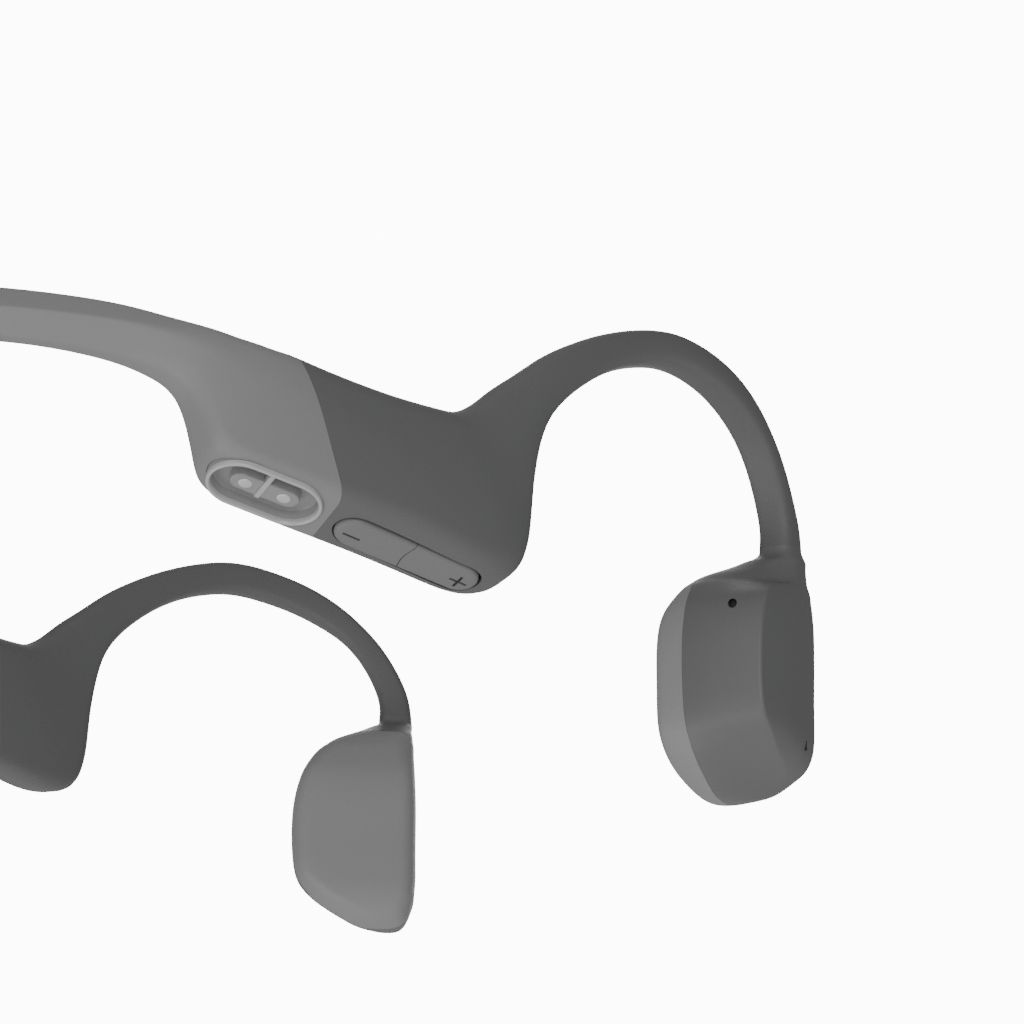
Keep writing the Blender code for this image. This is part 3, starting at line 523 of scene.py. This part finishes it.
# ---------------------------------------------------------------- charging port
def port_rings(profile):
    """Rings of the port outline at each inset and depth."""
    outlines = [stadium(PORT_LENGTH - 2 * inset, PORT_WIDTH - 2 * inset, END_STEPS) for inset, _ in profile]
    return [np.array([port.at(u, v, depth) for u, v in outline])
            for outline, (_, depth) in zip(outlines, profile)]


# inset and depth along each profile, mm
ring_outside = [(0.03, -0.45), (0.03, -0.07), (0.06, 0.02), (0.12, 0.08), (0.20, 0.11)]
ring_inside = [(0.50, -0.45), (0.49, -0.30), (0.46, -0.12), (0.40, 0.03), (0.30, 0.11)]
# The rim ring carries the trim colour with its painted highlight.
ring = solid("charging_port_ring", *tube(port_rings(ring_outside), port_rings(ring_inside)), RIM_TRIM_AND_PAINTED_HIGHLIGHT, 50)
well = [(0.9, -2.5), (0.05, -2.4), (0.05, -0.47), (0.51, -0.47), (0.53, -0.52), (0.58, -1.30), (0.64, -1.40),
        (0.74, -1.45), (1.10, -1.46), (2.26, -1.46), (2.30, -1.40), (2.34, -0.62), (2.38, -0.51), (2.46, -0.46),
        (2.60, -0.45)]
frame_piece = solid("charging_port", *loft(port_rings(well)), WELL, 50)
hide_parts("charging_port_frame")
rib_outline = block(0.52, 4.15, 0.06, (-0.3, 0.78))
# The rib takes the same trim colour with its painted highlight.
rib = solid("charging_port_rib", *port.prism(rib_outline, -1.6, -0.33, 0.05), RIM_TRIM_AND_PAINTED_HIGHLIGHT, 50)
for piece in (ring, frame_piece, rib):
    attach(piece, "right_side")
for number, spot in enumerate(((-2.1, 0.0), (2.05, 0.0)), 1):
    dome = [(0.0, -1.2), (0.0, -0.46), (0.04, -0.40), (0.12, -0.37), (0.28, -0.355), (0.6, -0.35)]
    lines = [disc(0.71 - i, spot) for i, _ in dome]
    contact = solid(f"contact_{number}", *port.sweep(lines, [d for _, d in dome]), GOLD, 60)
    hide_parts(f"charging_contact_{number}")
    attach(contact, "right_side")

# ---------------------------------------------------------------- arm covers with hooks
arm_rows = np.r_[np.linspace(SEAM_ROW + SEAM_GAP, 20, 90), np.linspace(20, HOOK_END_ROW, 90)[1:]]
keys = underside(92.3, -0.2, -6.87, -1)
for label, side in (("right", -1), ("left", 1)):
    cover = solid(f"arm_{label}", *tube(arm_rings(arm_rows, side), arm_rings(arm_rows, side, WALL)), DARK, 30)
    if side < 0:
        opening = stadium(KEY_LENGTH + 0.42, KEY_WIDTH + 0.48, END_STEPS, (0.0, 0.16))
        shape(cover, [keys.prism(opening, -3.2, 3.0)])
        smooth(cover.data, 30)
    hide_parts(f"arm_cover_{label}")
    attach(cover, f"{label}_side")


# ---------------------------------------------------------------- volume keys
def key_side(sign):
    """Region on one side of the curved split between the two keys."""
    split = [(-0.35 + 0.10 * v * v + 0.045 * sign, v) for v in np.linspace(-4, 4, 25)]
    return split + [(sign * 20.0, 4.0), (sign * 20.0, -4.0)]


for name, sign in (("volume_down", -1), ("volume_up", 1)):
    edge = [(0.0, -1.9), (0.0, -0.30), (0.05, -0.12), (0.16, 0.02), (0.34, 0.12), (0.62, 0.20), (1.0, 0.25)]
    outlines = [stadium(KEY_LENGTH - 2 * i, KEY_WIDTH - 2 * i, END_STEPS) for i, _ in edge]
    # The keys take the lighter key colour, which is painted light.
    key = solid(f"{name}_key", *keys.sweep(outlines, [d for _, d in edge]), KEY_SILICONE_PAINTED_LIGHT, 50)
    shape(key, [keys.prism(key_side(sign), -4.0, 2.0)], "INTERSECT")
    marks = [block(1.9, 0.3, 0.05, (sign * 6.05, -0.25))]
    if sign > 0:
        marks.append(block(0.3, 1.9, 0.05, (6.05, -0.25)))
    shape(key, [keys.prism(mark, 0.02, 1.0) for mark in marks])
    smooth(key.data, 40)
    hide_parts(f"{name}_button")
    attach(key, f"{name}_key")
    for number, mark in enumerate(marks):
        bar = keys.prism(shrink(mark, 0.01), -0.4, 0.07 - 0.005 * number)
        inlay = solid(f"{name}_mark_{number}", *bar, MARK)
        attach(inlay, f"{name}_key")

# ---------------------------------------------------------------- transducer pods
pod_rows = np.r_[np.linspace(0, 4, 33), np.linspace(4, POD_TOP_ROW, 124)[1:]]
cavity_rows = np.linspace(4, 17, 40)


def neck_in(rings, side):
    """Bring the top of the pod smoothly onto the outline of the hook's end."""
    end = arm_rings([HOOK_END_ROW], side)[0]
    middle = end.mean(0)
    around = np.arctan2(end[:, 1] - middle[1], end[:, 0] - middle[0])
    order = np.argsort(around)
    reach = np.linalg.norm(end[:, :2] - middle[:2], axis=1)[order]
    around = around[order]
    for row, ring in zip(pod_rows, rings):
        share = min(max((row - NECK_ROWS[0]) / NECK_ROWS[1], 0.0), 1.0)
        share = share * share * (3 - 2 * share)
        if share > 0:
            turn = np.arctan2(ring[:, 1] - middle[1], ring[:, 0] - middle[0])
            size = np.interp(turn, around, reach, period=2 * math.pi)
            goal = middle[:2] + size[:, None] * np.column_stack([np.cos(turn), np.sin(turn)])
            ring[:, :2] += share * (goal - ring[:, :2])
    return rings


for label, side in (("right", -1), ("left", 1)):
    face = pod_frame(side, 0.0)
    shell = solid(f"pod_{label}", *loft(neck_in(pod_rings(pod_rows, side), side)), SHELL, 30)
    neck, ahead, above = pod_place([(4.8, 3.5, 0.0), (5.8, 3.5, 0.0), (4.8, 3.5, 1.0)], side)
    bore = Frame(neck, ahead - neck, above - neck)
    cuts = [face.prism(block(40, 30, 0.5), -12.0, PAD_SPLIT), loft(pod_rings(cavity_rows, side, WALL, 0.8)),
            bore.prism(disc(1.3), 0.0, 6.0)]
    if side < 0:
        mic = pod_place([(-4.6, 2.15, -3.8), (-5.55, 2.4, -4.1), (-4.35, 3.1, -3.8)], -1)
        mic_axis = Frame(mic[0], mic[2] - mic[0], mic[1] - mic[0])
        cuts.append(mic_axis.prism(disc(MIC_RADIUS), 0.0, 5.0))
        slit = pod_frame(-1, 6.3, 3.6, -17.7)
        cuts.append(slit.prism(stadium(1.1, 0.28), -0.35, 1.0))
        for name, piece in (("microphone_mesh", mic_axis.prism(disc(MIC_RADIUS - 0.01), 0.05, 0.3)),
                            ("slit_mesh", slit.prism(stadium(1.08, 0.26), -0.3, 0.06))):
            mesh = solid(name, *piece, BLACK)
            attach(mesh, "right_side")
    else:
        press = pod_frame(1, 6.2, 0.0, -11.0)
        cuts.append(press.prism(stadium(9.9, 4.1), -2.0, 1.0))
    shape(shell, cuts)
    smooth(shell.data, 32)
    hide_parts(f"pod_shell_{label}")
    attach(shell, f"{label}_side")

    pad = solid(f"pad_{label}", *loft(pod_rings(pod_rows, side)), PAD, 30)
    shape(pad, [face.prism(block(44, 34, 0.5), PAD_SPLIT - 0.03, 12.0)])
    smooth(pad.data, 32)
    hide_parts(f"contact_pad_{label}")
    edge, crown = pod_place([(0.0, PAD_SPLIT - 0.03, -12.0), (0.0, PAD_SPLIT - 2.5, -12.0)], side) / 1000.0
    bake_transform(pad)

button = solid("multifunction_key", *press.prism(stadium(9.6, 3.8), -0.75, 0.15, 0.14), SHELL, 50)
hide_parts("multifunction_button")
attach(button, "multifunction_key")

# ---------------------------------------------------------------- camera, floor and light
camera = bpy.data.objects.new("camera", bpy.data.cameras.new("camera"))
bpy.context.scene.collection.objects.link(camera)
camera.data.lens, camera.data.sensor_width = 150.0, 36.0
camera.location = (-0.39260, 0.19715, -0.13198)
aim = Vector((-0.045, -0.02005, 0.0012)) - camera.location
camera.rotation_euler = aim.to_track_quat("-Z", "Y").to_euler()
camera.data.clip_start = 0.01
bpy.context.scene.camera = camera


LIT_POINT = Vector((-0.045, -0.02, 0.0))
LAMP_SIZE = 0.3             # metres


def light(name, spot, power):
    """Soft round lamp aimed at the headphones; power in watts."""
    lamp = bpy.data.objects.new(name, bpy.data.lights.new(name, "AREA"))
    bpy.context.scene.collection.objects.link(lamp)
    lamp.location = spot
    lamp.rotation_euler = (LIT_POINT - Vector(spot)).to_track_quat("-Z", "Y").to_euler()
    lamp.data.shape, lamp.data.size, lamp.data.energy = "DISK", LAMP_SIZE, power
    lamp.visible_camera = False


light("below_left", (-0.056, 0.339, -0.348), 0.13)
light("low_back", (0.117, 0.318, -0.331), 0.44)
light("low_camera", (-0.295, 0.195, -0.376), 0.17)
light("front", (-0.469, 0.245, 0.000), 0.89)
light("upper_left", (-0.210, 0.379, 0.251), 0.26)
light("top", (-0.087, 0.006, 0.498), 0.2)
light("rim", (0.255, -0.207, 0.354), 0.21)
light("far_side", (0.360, -0.272, 0.155), 1.0)

FLOOR_REACH, FLOOR_LEVEL = 12000.0, -600.0      # mm
corners = [(x * FLOOR_REACH, y * FLOOR_REACH, FLOOR_LEVEL) for x, y in ((-1, -1), (1, -1), (1, 1), (-1, 1))]
FLOOR = surface("floor_paint", (0.8, 0.8, 0.8), 0.8, 20.0, 0.02, 0.01)
floor = solid("floor", corners, [(0, 1, 2, 3)], FLOOR)
glow = FLOOR.node_tree.nodes["Principled BSDF"]
glow.inputs["Emission Color"].default_value = (1.0, 1.0, 1.0, 1.0)
glow.inputs["Emission Strength"].default_value = 0.4

world = bpy.data.worlds.new("studio")
bpy.context.scene.world = world
world.use_nodes = True
nodes, links = world.node_tree.nodes, world.node_tree.links
sky = nodes["Background"]
sky.inputs["Color"].default_value = (1.0, 1.0, 1.0, 1.0)
sky.inputs["Strength"].default_value = 0.25         # what lights the scene
seen = nodes.new("ShaderNodeBackground")
seen.inputs["Strength"].default_value = 15.0        # what stands behind it
ray = nodes.new("ShaderNodeLightPath")
mix = nodes.new("ShaderNodeMixShader")
links.new(ray.outputs["Is Camera Ray"], mix.inputs["Fac"])
links.new(sky.outputs["Background"], mix.inputs[1])
links.new(seen.outputs["Background"], mix.inputs[2])
links.new(mix.outputs["Shader"], nodes["World Output"].inputs["Surface"])
